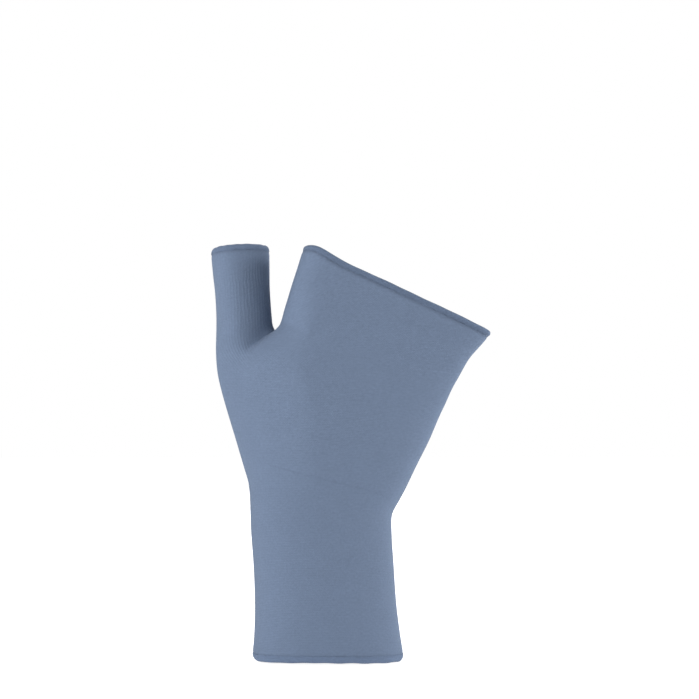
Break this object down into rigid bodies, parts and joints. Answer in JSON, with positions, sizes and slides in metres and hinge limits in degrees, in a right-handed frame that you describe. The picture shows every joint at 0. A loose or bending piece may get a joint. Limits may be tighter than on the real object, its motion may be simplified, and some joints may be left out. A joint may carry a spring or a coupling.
{
  "type": "compression gauntlet",
  "caption": "Fingerless knitted compression gauntlet for a right hand, from forearm to knuckles, with a thumb stall and a rolled hem at each opening.",
  "frame": {"origin": "middle of the wrist, on the axis of the sleeve at its narrowest section", "axes": "+Z from the forearm to the fingers, +X from the thumb side to the little finger side, -Y out of the back of the hand and +Y out of the palm"},
  "size_m": [0.1121, 0.0426, 0.1667],
  "materials": {
    "knit": "fine elastic knit, matt blue-grey",
    "hem": "the same knit rolled and stitched, a little darker"
  },
  "bodies": {
    "root": {"hand_sleeve": "knit", "thumb_stall": "knit", "wrist_hem": "hem", "finger_hem": "hem", "thumb_hem": "hem"}
  },
  "joints": []
}
